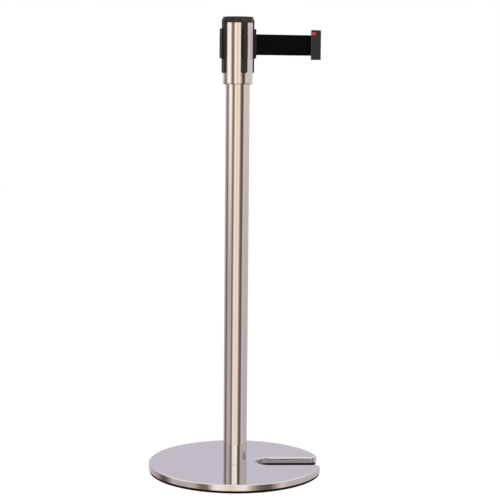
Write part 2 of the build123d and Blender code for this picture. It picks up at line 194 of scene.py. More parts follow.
# %% [markdown]
# ## The studio
#
# A polished tube is a mirror bent round. Across its width it shows the whole room, from behind
# the camera at its middle to behind the tube at its edges. So the streaks on it are the studio:
# cream softboxes, and dark gaps between them. Here the room is the world itself. The direction
# of a reflected ray gives an angle round the post, and a colour ramp says what stands there.
#
# There are three ramps, because the room isn't the same all the way up. Below eye level the left
# softbox has ended, so the lower post looks darker there than the head. The foot of the post
# looks down into the polished base, which sends its gaze up again, to brighter softboxes. Each
# stop is a direction in degrees, from the camera round towards +X, and a tone of the room. Below
# them lies a dark band, which draws a line along every edge that is rolled under, and then the
# pale floor, so that the post is still bright when it is seen from above.
#
# The camera itself sees plain white behind everything. Reflections see the room instead, because
# a mirror in a white void looks like white paint.

# %% World
lilac = (0.66, 0.63, 0.71)
wall = (0.78, 0.70, 0.68)
mist = (0.63, 0.56, 0.56)
dim = (0.42, 0.38, 0.36)
dusk = (0.24, 0.22, 0.21)
ivory = (1.28, 1.18, 1.08)
cream = (1.32, 1.13, 0.93)
sand = (0.93, 0.77, 0.62)
clay = (0.60, 0.48, 0.37)
brown = (0.25, 0.18, 0.13)
umber = (0.10, 0.06, 0.04)
rose = (0.88, 0.73, 0.67)
stone = (0.60, 0.52, 0.50)
slate = (0.15, 0.12, 0.12)
honey = (1.06, 0.86, 0.70)
chalk = (1.12, 0.99, 0.90)
frost = (1.52, 1.42, 1.34)
high_room = [
    (-180, lilac), (-142, wall), (-122, dim), (-108, dusk), (-99, dusk), (-88, rose),
    (-79, ivory), (-61, ivory), (-53, sand), (-44, brown), (-32, brown), (-23, honey),
    (-13, cream), (-3, sand), (4, sand), (14, cream), (20, honey), (27, clay),
    (37, brown), (43, umber), (50, umber), (57, brown), (65, rose), (90, wall),
    (130, wall), (180, lilac),
]
low_room = [
    (-180, lilac), (-142, stone), (-122, dim), (-112, slate), (-102, slate), (-90, stone),
    (-78, stone), (-55, stone), (-45, brown), (-36, brown), (-26, chalk), (-16, chalk),
    (-4, sand), (6, chalk), (14, chalk), (23, clay), (32, brown), (40, slate),
    (48, slate), (56, dim), (65, rose), (75, mist), (130, mist), (180, lilac),
]
foot_room = [
    (-180, lilac), (-150, lilac), (-130, dim), (-114, dusk), (-102, dusk), (-91, stone),
    (-80, rose), (-70, stone), (-58, stone), (-49, dim), (-42, brown), (-37, brown),
    (-29, rose), (-22, frost), (-14, ivory), (-4, ivory), (6, frost), (13, frost), (21, clay),
    (30, brown), (36, umber), (41, umber), (49, dim), (58, wall), (75, mist), (100, wall),
    (120, stone), (150, lilac), (180, lilac),
]
ceiling = (0.95, 0.93, 0.95, 1.0)
dark_band = (0.035, 0.025, 0.02, 1.0)
far_floor = (0.70, 0.66, 0.65, 1.0)
floor_streaks = 0.45
soft_grey = (0.55, 0.55, 0.56, 1.0)
white = (1.0, 1.0, 1.0, 1.0)


def ramp_of(nodes, place, bands):
    """Colour of the room at a place round the post, from 0 to 1."""
    stops = [(degrees / 360.0 + 0.5, colour) for degrees, colour in bands]
    return nodes.add("ShaderNodeValToRGB", "Color", {"stops": stops}, {"Fac": place})


def blend_over(nodes, value, low, high):
    """Goes evenly from 0 to 1 as the value goes from low to high, either way up."""
    inputs = {"Value": value, "From Min": low, "From Max": high}
    return nodes.add("ShaderNodeMapRange", "Result", {}, inputs)


# Heights of a ray, as sines, between which one part of the room gives way to the next.
head_heights = (-0.14, -0.02)
foot_heights = (0.04, 0.14)
ceiling_heights = (0.30, 0.48)
band_heights = (-0.28, -0.40)
floor_heights = (-0.44, -0.56)

world = bpy.data.worlds.new("studio")
bpy.context.scene.world = world
sky = Nodes(world)
direction = sky.add("ShaderNodeTexCoord", "Generated")
east, north, height = sky.split(direction)
from_camera = 0.5 - camera_turn / (2 * math.pi)
round_post = east.math("ARCTAN2", east, 0.0 - north) / (2 * math.pi) + from_camera
low_part = ramp_of(sky, round_post, low_room)
high_part = ramp_of(sky, round_post, high_room)
foot_part = ramp_of(sky, round_post, foot_room)
streaky_floor = sky.mix(floor_streaks, far_floor, low_part)
room = sky.mix(blend_over(sky, height, *head_heights), low_part, high_part)
room = sky.mix(blend_over(sky, height, *foot_heights), room, foot_part)
room = sky.mix(blend_over(sky, height, *ceiling_heights), room, ceiling)
room = sky.mix(blend_over(sky, height, *band_heights), room, dark_band)
room = sky.mix(blend_over(sky, height, *floor_heights), room, streaky_floor)
camera_ray = sky.add("ShaderNodeLightPath", "Is Camera Ray")
soft_ray = sky.add("ShaderNodeLightPath", "Is Diffuse Ray")
seen = sky.mix(soft_ray, room, soft_grey)
seen = sky.mix(camera_ray, seen, white)
lit = sky.add("ShaderNodeBackground", "Background", {}, {"Color": seen, "Strength": 1.0})
sky.add("ShaderNodeOutputWorld", None, {}, {"Surface": lit})
print("bands round the post:", len(high_room), len(low_room), len(foot_room))

# %% [markdown]
# Two large soft lamps give the shapes their shading: a key light high on the left and a weaker
# one on the right. They are hidden from reflections, because the room above already provides
# those.

# %% Lamps
def soft_lamp(name, place, target, size, power):
    """A square lamp that points at the target."""
    data = bpy.data.lights.new(name, "AREA")
    data.size = size
    data.energy = power
    lamp = bpy.data.objects.new(name, data)
    lamp.location = place
    lamp.rotation_euler = (Vector(target) - Vector(place)).to_track_quat("-Z", "Y").to_euler()
    lamp.visible_glossy = False
    bpy.context.collection.objects.link(lamp)


lamp_target = (0, 0, 0.5)
lamp_size = 1.6
key_power, fill_power = 55, 25
soft_lamp("key", (-1.8, -2.2, 2.6), lamp_target, lamp_size, key_power)
soft_lamp("fill", (2.2, -1.6, 1.8), lamp_target, lamp_size, fill_power)
print("lamps:", len(bpy.data.lights))

# %% [markdown]
# ## Small helpers for modelling
#
# An operator works on whatever is selected, so each step starts by selecting only what it
# should touch. These helpers do the same few things every time: choose an object, choose some
# of its corners, edges or faces by where they are, and apply a modifier.
#
# `smooth` ends with the Weighted Normal modifier. A corner where a large face meets a narrow
# bevel would otherwise lean a little way over, and on a mirror that bends the whole reflection.
# With it, the large faces have the say.

# %% Modelling helpers
def only(piece):
    """Select one object and nothing else."""
    if bpy.context.mode != "OBJECT":
        bpy.ops.object.mode_set(mode="OBJECT")
    bpy.ops.object.select_all(action="DESELECT")
    piece.select_set(True)
    bpy.context.view_layer.objects.active = piece


def keep_place(piece):
    """Put an object's place, turn and size into its mesh."""
    only(piece)
    bpy.ops.object.transform_apply(location=True, rotation=True, scale=True)
    return piece


def choose(piece, kind, test):
    """Enter edit mode with only those parts selected whose middle or normal passes the test."""
    only(piece)
    bpy.ops.object.mode_set(mode="EDIT")
    bpy.ops.mesh.select_mode(type=kind)
    bpy.ops.mesh.select_all(action="DESELECT")
    mesh = bmesh.from_edit_mesh(piece.data)
    for item in {"VERT": mesh.verts, "EDGE": mesh.edges, "FACE": mesh.faces}[kind]:
        if test(item):
            item.select_set(True)
    bmesh.update_edit_mesh(piece.data)


def middle(edge):
    """Middle point of an edge."""
    return (edge.verts[0].co + edge.verts[1].co) / 2


def along_z(edge):
    """Whether an edge stands upright."""
    span = edge.verts[1].co - edge.verts[0].co
    return abs(span.z) > 0.9 * span.length


def leave():
    """Back to object mode."""
    bpy.ops.object.mode_set(mode="OBJECT")


def round_off(piece, test, size, segments):
    """Round the edges that pass the test."""
    choose(piece, "EDGE", test)
    bpy.ops.mesh.bevel(offset=size, offset_type="OFFSET", segments=segments, affect="EDGES")
    leave()


def use(piece, kind, **settings):
    """Add a modifier with its settings and apply it."""
    only(piece)
    modifier = piece.modifiers.new(kind.lower(), kind)
    for name, setting in settings.items():
        setattr(modifier, name, setting)
    bpy.ops.object.modifier_apply(modifier=modifier.name)


def combine(piece, tool, operation="DIFFERENCE"):
    """Cut a tool out of a piece, or weld it on, and delete the tool."""
    use(piece, "BOOLEAN", operation=operation, object=tool, solver="EXACT")
    bpy.data.objects.remove(tool)
    return piece


def soften(piece, size, segments=2):
    """Break every sharp edge a little, so that it catches light."""
    use(piece, "BEVEL", width=size, segments=segments, limit_method="ANGLE",
        angle_limit=math.radians(40), harden_normals=False)


def block(name, low, high):
    """A box between two corners."""
    low, high = Vector(low), Vector(high)
    bpy.ops.object.select_all(action="DESELECT")
    bpy.ops.mesh.primitive_cube_add(size=1.0, location=(low + high) / 2)
    piece = bpy.context.object
    piece.name = name
    piece.scale = high - low
    return keep_place(piece)


def round_bar(name, radius, low, high, centre=(0.0, 0.0), corners=128, ends="NGON"):
    """An upright cylinder between two heights."""
    bpy.ops.object.select_all(action="DESELECT")
    bpy.ops.mesh.primitive_cylinder_add(
        vertices=corners,
        radius=radius,
        depth=high - low,
        end_fill_type=ends,
        location=(*centre, (low + high) / 2),
    )
    piece = bpy.context.object
    piece.name = name
    return keep_place(piece)


def twin(piece, name):
    """A copy of a piece with its own mesh."""
    copy = piece.copy()
    copy.data = piece.data.copy()
    copy.name = name
    bpy.context.collection.objects.link(copy)
    return copy


def turned(piece, degrees):
    """Turn a piece about the post and keep the turn in its mesh."""
    piece.rotation_euler.z = math.radians(degrees)
    return keep_place(piece)


def smooth(piece, degrees=30):
    """Smooth shading that follows the large faces, except across edges sharper than the angle."""
    only(piece)
    bpy.ops.object.mode_set(mode="EDIT")
    bpy.ops.mesh.select_all(action="SELECT")
    bpy.ops.mesh.normals_make_consistent(inside=False)
    leave()
    bpy.ops.object.shade_smooth_by_angle(angle=math.radians(degrees))
    use(piece, "WEIGHTED_NORMAL", keep_sharp=True, weight=80)


def finish_piece(piece, body, material, *nodes):
    """Give a piece its material, its body and the frame nodes that it stands for."""
    piece.data.materials.clear()
    piece.data.materials.append(material)
    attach(piece, body)
    if nodes:
        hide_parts(*nodes)
    print(piece.name, "faces:", len(piece.data.polygons))


print("helpers ready")

# %% [markdown]
# ## The floor
#
# The floor is a plain pale sheet. Most of what the camera sees of it is its own glow, so it
# joins the white behind it without a line, and the rest is ordinary paint that takes the soft
# shadow of the base. Reflections pass through it, so the metal sees only the room. The one
# exception is the floor of the slot, which is painted with shade, darkest beside the far wall.
# That painted shade is what the far wall mirrors, and what makes the cut look deep.

# %% Floor
slot_end = 0.0735
slot_half = 0.0305
slot_open = 0.178
floor_size, floor_drop = 14.0, 0.0003
# Painted shade on the floor of the slot, seen only in reflections: paler towards the near wall,
# darkest by the far wall.
slot_near_shade = (0.52, 0.46, 0.48, 1.0)
slot_far_shade = (0.22, 0.18, 0.18, 1.0)

bpy.ops.object.select_all(action="DESELECT")
bpy.ops.mesh.primitive_plane_add(size=floor_size, location=(0.0, 0.0, -floor_drop))
floor = bpy.context.object
floor.name = "floor"
keep_place(floor)
floor_paint = bpy.data.materials.new("floor_paint")
sheet = Nodes(floor_paint)
paint = sheet.add("ShaderNodeBsdfDiffuse", "BSDF", {}, {"Color": (0.80, 0.80, 0.80, 1.0)})
glow = sheet.add("ShaderNodeEmission", "Emission", {}, {"Color": (1, 1, 1, 1), "Strength": 1.18})
bright = sheet.add("ShaderNodeMixShader", "Shader", {}, {0: 0.75, 1: paint, 2: glow})
camera_here = sheet.add("ShaderNodeLightPath", "Is Camera Ray")
shown = sheet.add("ShaderNodeMixShader", "Shader", {}, {0: camera_here, 1: paint, 2: bright})
shiny_ray = sheet.add("ShaderNodeLightPath", "Is Glossy Ray")
spot_x, spot_y, _ = sheet.split(sheet.add("ShaderNodeTexCoord", "Object"))
beside_slot = spot_y.size().above(slot_half)
left_of_slot = 1.0 - spot_x.above(slot_end - slot_half)
right_of_slot = spot_x.above(slot_open)
outside = sheet.math_max(beside_slot, left_of_slot, right_of_slot)
# The painted shade of the slot's floor darkens towards the far wall.
towards_far_wall = blend_over(sheet, spot_y, -slot_half * 0.5, slot_half)
slot_painted_shade = sheet.mix(towards_far_wall, slot_near_shade, slot_far_shade)
slot_shaded_paint = sheet.add("ShaderNodeBsdfDiffuse", "BSDF", {}, {"Color": slot_painted_shade})
clear = sheet.add("ShaderNodeBsdfTransparent", "BSDF")
mirrored = sheet.add("ShaderNodeMixShader", "Shader", {}, {0: outside, 1: slot_shaded_paint, 2: clear})
shown = sheet.add("ShaderNodeMixShader", "Shader", {}, {0: shiny_ray, 1: shown, 2: mirrored})
sheet.add("ShaderNodeOutputMaterial", None, {}, {"Surface": shown})
floor.data.materials.append(floor_paint)
print("floor ready")

# %% [markdown]
# ## Finishes
#
# Every finish here starts from the same recipe. A broad, slow noise changes the colour and the
# gloss a little from place to place, as handling and moulding do. A fine noise raises a grain.
# What differs is the numbers: mirror steel has almost no grain, moulded plastic has a fine one,
# and cast iron a coarse one. A finish may also have another colour below some height, its foot.
# Both feet used here are painted shade.

# %% The common recipe
def finish(name, colour, tint, rough, metal=0.0, patch=8.0, grain=400.0, depth=0.0, spread=0.1,
           stretch=(1.0, 1.0, 1.0), shine=0.5, foot=None):
    """A finish whose colour drifts from one tone to another over broad patches."""
    material = bpy.data.materials.new(name)
    nodes = Nodes(material)
    place = nodes.add("ShaderNodeTexCoord", "Object")
    place = nodes.add("ShaderNodeMapping", "Vector", {}, {"Vector": place, "Scale": stretch})
    broad_inputs = {"Vector": place, "Scale": patch, "Detail": 4.0}
    fine_inputs = {"Vector": place, "Scale": grain, "Detail": 3.0}
    broad = nodes.add("ShaderNodeTexNoise", "Fac", {}, broad_inputs)
    fine = nodes.add("ShaderNodeTexNoise", "Fac", {}, fine_inputs)
    base_colour = nodes.mix(broad, (*colour, 1.0), (*tint, 1.0))
    # The foot colour below a height is painted shade in both pieces that use it.
    if foot:
        foot_height, foot_shade_colour = foot
        above_foot = nodes.split(place)[2].above(foot_height)
        base_colour = nodes.mix(above_foot, (*foot_shade_colour, 1.0), base_colour)
    gloss = rough + (broad - 0.5) * spread + (fine - 0.5) * spread * 0.5
    bump_inputs = {"Strength": 1.0, "Distance": depth, "Height": fine}
    relief = nodes.add("ShaderNodeBump", "Normal", {}, bump_inputs)
    inputs = {"Base Color": base_colour, "Roughness": gloss, "Metallic": metal, "Normal": relief,
              "Specular IOR Level": shine}
    surface = nodes.add("ShaderNodeBsdfPrincipled", "BSDF", {}, inputs)
    nodes.add("ShaderNodeOutputMaterial", None, {}, {"Surface": surface})
    return material


print("recipe ready")

# %% [markdown]
# The visible finishes come first. Polished stainless steel gets a very low roughness, with faint
# cloudy wiping marks. The plastic of the head is charcoal rather than black, with a fine moulded
# grain that spreads its highlights. The pad under the base is matt rubber. The lock lever is
# red, and below the ridge of its pad its red is painted dark as shade.

# %% Finishes of the pieces
pad_ridge = 0.9030
mirror_tones = (0.76, 0.745, 0.74), (0.72, 0.71, 0.71)
mirror_marks = {"rough": 0.055, "metal": 1.0, "patch": 9.0, "grain": 260.0, "depth": 0.0000006,
                "spread": 0.03}
mirror_steel = finish("mirror_steel", *mirror_tones, **mirror_marks)
charcoal = finish("charcoal_plastic", (0.017, 0.0155, 0.013), (0.026, 0.0235, 0.020), 0.40,
                  patch=30.0, grain=2600.0, depth=0.00004, spread=0.10, shine=0.36)
rubber = finish("pad_rubber", (0.004, 0.003, 0.003), (0.008, 0.006, 0.006), 0.66,
                patch=25.0, grain=1500.0, depth=0.00006, spread=0.12, shine=0.08)
# Below pad_ridge the red is a painted shade: a dark red on the lower face of the pad.
signal_red = finish("signal_red", (0.70, 0.028, 0.105), (0.60, 0.020, 0.085), 0.30,
                    patch=60.0, grain=3000.0, depth=0.00001, spread=0.06,
                    foot=(pad_ridge, (0.17, 0.004, 0.022)))
zinc = finish("zinc_steel", (0.60, 0.60, 0.58), (0.50, 0.51, 0.50), 0.34, 1.0,
              patch=70.0, grain=900.0, depth=0.00002, spread=0.16)
spring_steel = finish("spring_steel", (0.30, 0.30, 0.31), (0.22, 0.23, 0.25), 0.30, 1.0,
                      patch=50.0, grain=1500.0, depth=0.00001, spread=0.12, stretch=(1, 1, 0.1))
nylon = finish("white_nylon", (0.74, 0.74, 0.69), (0.66, 0.66, 0.61), 0.45,
               patch=40.0, grain=1800.0, depth=0.00003, spread=0.10)
iron = finish("cast_iron", (0.075, 0.072, 0.070), (0.045, 0.043, 0.042), 0.72, 0.7,
              patch=35.0, grain=320.0, depth=0.0004, spread=0.18)
slot_finish = {
    "polished_stainless": mirror_steel,
    "black_rubber": rubber,
    "cast_weight": iron,
    "zinc_steel": zinc,
    "spring_steel": spring_steel,
    "black_plastic": charcoal,
    "white_nylon": nylon,
    "red_plastic": signal_red,
}
print("finishes:", sorted(slot_finish))

# %% [markdown]
# ## Belt webbing
#
# The belt is woven polyester, so its threads cross over and under. Two sine waves at right
# angles give the crowns of the threads, and shifting every other row by half a thread makes a
# twill. The colour is lighter on the crowns and darker between them, which is painted shade in
# the weave. The mapping turns the pattern by the same angle as the head, so that the threads run
# along the belt. The outermost threads form a firm edge, which is a little smoother.

# %% Webbing
head_turn = 22.0
thread = 0.0011
belt_low, belt_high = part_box("belt")
belt_middle = (belt_low.z + belt_high.z) / 2
belt_half = (belt_high.z - belt_low.z) / 2

webbing = bpy.data.materials.new("webbing")
weave = Nodes(webbing)
spot = weave.add("ShaderNodeTexCoord", "Object")
spin_inputs = {"Vector": spot, "Rotation": (0.0, 0.0, math.radians(-head_turn))}
spot = weave.add("ShaderNodeMapping", "Vector", {}, spin_inputs)
length_way, _, height_way = weave.split(spot)
warp = (height_way * (math.pi / thread)).sine().size()
slant = (length_way + height_way * 0.5) * (math.pi / (2.0 * thread))
weft = slant.sine().size()
cloud = weave.add("ShaderNodeTexNoise", "Fac", {}, {"Vector": spot, "Scale": 35.0, "Detail": 5.0})
crown = warp * weft
selvedge = (height_way - belt_middle).size().above(belt_half - 2.0 * thread)
# Painted shade in the weave: lighter on the thread crowns, darker between them, mixed with a
# random cloud.
tone = crown * 0.6 + cloud * 0.4
threads = weave.mix(tone, (0.0006, 0.0009, 0.0009, 1.0), (0.0026, 0.0032, 0.0032, 1.0))
gloss = 0.72 - crown * 0.12 - selvedge * 0.10
relief_inputs = {"Strength": 0.8, "Distance": 0.00018, "Height": crown}
relief = weave.add("ShaderNodeBump", "Normal", {}, relief_inputs)
cloth_inputs = {"Base Color": threads, "Roughness": gloss, "Normal": relief,
                "Specular IOR Level": 0.05}
cloth = weave.add("ShaderNodeBsdfPrincipled", "BSDF", {}, cloth_inputs)
weave.add("ShaderNodeOutputMaterial", None, {}, {"Surface": cloth})
slot_finish["black_webbing"] = webbing
print("threads across the belt:", round(2 * belt_half / thread))

# %% [markdown]
# ## Finishes on the frame's own nodes
#
# Most inner pieces of the frame already have the right shape, so they only need a finish. The
# record says which material slot each node has.

# %% Dress the frame
slot_of = {entry["node"]: entry["material_slot"] for entry in frame["record"]["subparts"]}
for name, node in frame["nodes"].items():
    node.data.materials.clear()
    node.data.materials.append(slot_finish[slot_of[name]])
print("nodes dressed:", len(slot_of))

# %% [markdown]
# ## The base cover
#
# The cover is a thin sheet pressed over the weight. It starts as a disc. A slot with a round end
# is cut from its right-hand edge, so that another base can nest against the post. The tool for
# that cut is a cylinder whose right half is pulled out to the side. The two corners at the
# slot's mouth are rounded with a tool each: a block with a cylinder taken out of it, which
# leaves only the waste outside the round corner. Then the whole top edge is rounded, which
# gives the bright lip. The bottom is opened and the sheet gets its thickness inwards.
#
# Corners and edges are chosen by their place. A computed place is never quite exact, so places
# are compared within `touch`, a hundredth of a millimetre.

# %% Slotted discs
touch = 1e-5
slot_mouth = 0.012
spare = 0.01
beyond_rim = 0.2
cover_sheet, cover_round = 0.0012, 0.0025


def slot_tool(low, high):
    """A bar with the slot's outline."""
    tool = round_bar("slot_tool", slot_half, low - spare, high + spare, (slot_end, 0.0), 96)
    choose(tool, "VERT", lambda v: v.co.x > slot_end + touch)
    bpy.ops.transform.translate(value=(beyond_rim, 0.0, 0.0))
    leave()
    return tool


def mouth_tool(radius, side, low, high):
    """The waste outside one round corner of the slot's mouth."""
    reach = radius - slot_mouth
    across = slot_half + slot_mouth
    centre = (math.sqrt(reach**2 - across**2), side * across)
    near, far = sorted((side * (slot_half - 0.0005), side * across * radius / reach))
    tool = block("mouth_tool", (centre[0], near, low - spare), (beyond_rim, far, high + spare))
    corner = round_bar("round", slot_mouth, low - 2 * spare, high + 2 * spare, centre, 96)
    return combine(tool, corner)


def slotted_disc(name, radius, low, high):
    """A disc with the nesting slot cut in."""
    disc = round_bar(name, radius, low, high, corners=256)
    combine(disc, slot_tool(low, high))
    for side in (-1.0, 1.0):
        combine(disc, mouth_tool(radius, side, low, high))
    use(disc, "WELD", merge_threshold=0.00008)
    return disc


def at_end(edge, height):
    """Whether an edge lies between a side wall and the flat end at this height."""
    level = all(abs(v.co.z - height) < touch for v in edge.verts)
    walls = [abs(face.normal.z) < 0.5 for face in edge.link_faces]
    return level and any(walls)


cover_low, cover_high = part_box("base_cover")
cover_radius = -cover_low.x
cover = slotted_disc("base_shell", cover_radius, cover_low.z, cover_high.z)
round_off(cover, lambda e: at_end(e, cover_high.z), cover_round, 6)
choose(cover, "FACE", lambda f: f.normal.z < -0.9)
bpy.ops.mesh.delete(type="FACE")
leave()
use(cover, "SOLIDIFY", thickness=cover_sheet, offset=-1.0, use_even_offset=True)
smooth(cover, 40)
finish_piece(cover, "stand", mirror_steel, "base_cover")

# %% [markdown]
# The rubber pad has the same outline, a little smaller, so the cover stands proud of it and
# throws a thin dark line round the foot of the base. It is kept out of reflections, or it would
# put a black band high on the far wall of the slot and a smudge on the foot of the post.

# %% Floor pad
pad_low, pad_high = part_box("floor_pad")
pad = slotted_disc("rubber_pad", -pad_low.x, pad_low.z, pad_high.z)
soften(pad, 0.0006)
smooth(pad, 40)
pad.visible_glossy = False
finish_piece(pad, "stand", rubber, "floor_pad")

# %% [markdown]
# ## The post
#
# The tube is a plain cylinder, but it carries the streaks, so it needs enough corners round it
# for a smooth outline. Its wall has a real thickness, and its foot is slightly rounded, which
# draws the fine line where tube and base meet. Only the outer edge of the foot is rounded, so a
# small function makes the test for it, which the sleeve of the head uses again.

# %% Post tube
post_wall, post_round = 0.0012, 0.0004


def outer_foot(radius, height):
    """The test for the outer edge round the foot of a tube."""
    def test(edge):
        return at_end(edge, height) and middle(edge).xy.length > radius - 0.0004
    return test


post_low, post_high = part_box("post_tube")
post = round_bar("post", post_high.x, post_low.z, post_high.z, corners=160, ends="NOTHING")
use(post, "SOLIDIFY", thickness=post_wall, offset=-1.0, use_even_offset=True)
round_off(post, outer_foot(post_high.x, post_low.z), post_round, 2)
smooth(post, 40)
finish_piece(post, "stand", mirror_steel, "post_tube")

# %% [markdown]
# ## The head sleeve
#
# A wider tube sits over the top of the post. Four slots run down it from the top edge, and each
# ends in two short slanted corners. One tool makes all four cuts: a tall block with its two
# lower corners cut off, copied and turned by a quarter each time. The foot of the sleeve is
# rolled in, and its lowest strip is painted brown as shade, so that it shows as a brown line
# above the post.

# %% Sleeve
rib_half = 0.0065
rib_corner = 0.003
rib_foot = 0.8239
rib_play = 0.0001
quarters = (0.0, 90.0, 180.0, 270.0)
sleeve_low, sleeve_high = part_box("head_sleeve")
sleeve_radius, sleeve_wall = 0.030, 0.001
rolled_foot = 0.00095
# Painted shade: below lip_height the sleeve's steel is coloured brown.
lip_height, lip_painted_shade = 0.0017, (0.30, 0.235, 0.185)


def cut_corners(piece, height, half):
    """Slant the two lower corners of an upright strip that faces +X."""
    def lower_side(edge):
        spot = middle(edge)
        flat = abs(edge.verts[0].co.x - edge.verts[1].co.x) > 1e-3
        return flat and abs(spot.z - height) < 1e-4 and abs(abs(spot.y) - half) < 1e-4
    round_off(piece, lower_side, rib_corner, 1)


sleeve = round_bar("head_tube", sleeve_radius, sleeve_low.z, sleeve_high.z, corners=192,
                   ends="NOTHING")
use(sleeve, "SOLIDIFY", thickness=sleeve_wall, offset=-1.0, use_even_offset=True)
round_off(sleeve, outer_foot(sleeve_radius, sleeve_low.z), rolled_foot, 5)
cut_in, cut_out, cut_top = 0.02, 0.04, 0.95
cut_half, cut_foot = rib_half + rib_play, rib_foot - rib_play
for angle in quarters:
    tool = block("slot_tool", (cut_in, -cut_half, cut_foot), (cut_out, cut_half, cut_top))
    cut_corners(tool, cut_foot, cut_half)
    combine(sleeve, turned(tool, angle))
soften(sleeve, 0.00015)
turned(sleeve, head_turn)
smooth(sleeve, 30)
# The foot colour paints shade on the sleeve's rolled foot, a brown line above the post.
shaded_lip = (sleeve_low.z + lip_height, lip_painted_shade)
sleeve_steel = finish("sleeve_steel", *mirror_tones, **mirror_marks, foot=shaded_lip)
finish_piece(sleeve, "stand", sleeve_steel, "head_sleeve")

# %% [markdown]
# ## Ribs with their rails
#
# A plastic rib fills each slot of the sleeve and stands a little proud of it. Three of them carry
# a T-shaped rail, which the belt end of another post slides down on to. The rail is two blocks,
# a narrow neck and a wide flange, with their feet raised along one slope. The edges are broken
# last, because a sharp plastic edge shows no highlight. The rib is made once and then copied.

# %% Rib and rail
rib_root, rib_face, rib_top = 0.0277, 0.0333, 0.9245
rail_low, rail_high = 0.8508, 0.9126
neck_half, flange_half = 0.0020, 0.0045
flange_in, rail_face = 0.0366, 0.0388
foot_slope = 0.0045
neck_root, neck_out = rib_face - 0.0003, flange_in + 0.0002
notch_low, notch_high = 0.902, 0.908
notch_depth, notch_spare = 0.0008, 0.001


def slope_foot(piece, outer, low, rise):
    """Raise the outer lower edge of a block."""
    choose(piece, "VERT", lambda v: v.co.x > outer - touch and v.co.z < low + touch)
    bpy.ops.transform.translate(value=(0.0, 0.0, rise))
    leave()


rib = block("rib", (rib_root, -rib_half, rib_foot), (rib_face, rib_half, rib_top))
cut_corners(rib, rib_foot, rib_half)
slope_start = rail_face - foot_slope
flange_foot = rail_low + flange_in - slope_start
neck = block("neck", (neck_root, -neck_half, rail_low), (neck_out, neck_half, rail_high))
slope_foot(neck, neck_out, rail_low, flange_foot - rail_low)
flange = block("flange", (flange_in, -flange_half, flange_foot),
               (rail_face, flange_half, rail_high))
slope_foot(flange, rail_face, flange_foot, rail_face - flange_in)
for side in (-1.0, 1.0):
    edge = side * flange_half
    inner = side * (flange_half - notch_depth)
    notch = block("notch", (flange_in - notch_spare, min(edge * 1.2, inner), notch_low),
                  (rail_face + notch_spare, max(edge * 1.2, inner), notch_high))
    combine(flange, notch)
combine(rib, neck, "UNION")
combine(rib, flange, "UNION")
soften(rib, 0.00035)
print("rib corners:", len(rib.data.vertices))

# %% [markdown]
# The fourth rib is the mouth of the belt, the same piece with a tall slit through it.

# %% Copies round the head
receivers = {
    "left_receiver": (180.0, "receiver_left"),
    "front_receiver": (270.0, "receiver_front"),
    "rear_receiver": (90.0, "receiver_rear"),
}
for name, (angle, node) in receivers.items():
    copy = turned(twin(rib, name), head_turn + angle)
    smooth(copy, 35)
    finish_piece(copy, "stand", charcoal, node)
mouth_half, mouth_reach = 0.0009, 0.023
mouth_in, mouth_out = 0.02, 0.05
mouth = twin(rib, "mouth_strip")
slit = block("slit", (mouth_in, -mouth_half, belt_middle - mouth_reach),
             (mouth_out, mouth_half, belt_middle + mouth_reach))
combine(mouth, slit)
turned(mouth, head_turn)
smooth(mouth, 35)
finish_piece(mouth, "stand", charcoal, "belt_mouth")
bpy.data.objects.remove(rib)

# %% [markdown]
# ## The cap
#
# The cap is a shallow disc with a rounded top edge and four lobes that cover the tops of the
# ribs. A lobe is a block cut across at its shoulder, with the top pulled back towards the disc,
# so that it slopes. A shallow ring pressed into the top keeps the lid from looking like a coin.

# %% Cap
cap_low, cap_high = 0.9246, 0.9367
cap_radius, cap_round = 0.0303, 0.0016
ring_inset, ring_slope, ring_depth = 0.0022, 0.0008, 0.0005
lobe_half, lobe_root, lobe_reach, lobe_top_reach = 0.0066, 0.02, 0.0335, 0.0306
lobe_shoulder, lobe_top = 0.9282, 0.9348

cap = round_bar("cap", cap_radius, cap_low, cap_high, corners=160)
round_off(cap, lambda e: at_end(e, cap_high), cap_round, 5)
choose(cap, "FACE", lambda f: f.normal.z > 0.9 and len(f.verts) > 20)
bpy.ops.mesh.inset(thickness=ring_inset)
bpy.ops.mesh.inset(thickness=ring_slope)
bpy.ops.transform.translate(value=(0.0, 0.0, -ring_depth))
leave()
for angle in quarters:
    lobe = block("lobe", (lobe_root, -lobe_half, cap_low), (lobe_reach, lobe_half, lobe_top))
    choose(lobe, "FACE", lambda f: True)
    bpy.ops.mesh.bisect(plane_co=(0.0, 0.0, lobe_shoulder), plane_no=(0.0, 0.0, 1.0))
    leave()
    choose(lobe, "VERT", lambda v: v.co.x > lobe_reach - touch and v.co.z > lobe_top - touch)
    bpy.ops.transform.translate(value=(lobe_top_reach - lobe_reach, 0.0, 0.0))
    leave()
    combine(cap, turned(lobe, angle), "UNION")
soften(cap, 0.0003)
turned(cap, head_turn)
smooth(cap, 35)
finish_piece(cap, "stand", charcoal, "head_cap")

# %% [markdown]
# ## The belt
#
# The belt is a flat strap held tight, so a grid of small faces gives it all the shape it needs.
# The stretch inside the head turns towards the reel. Its thickness comes from a modifier. The
# belt is kept out of reflections, because its black would fill the side of the sleeve, where
# the lit room should show.

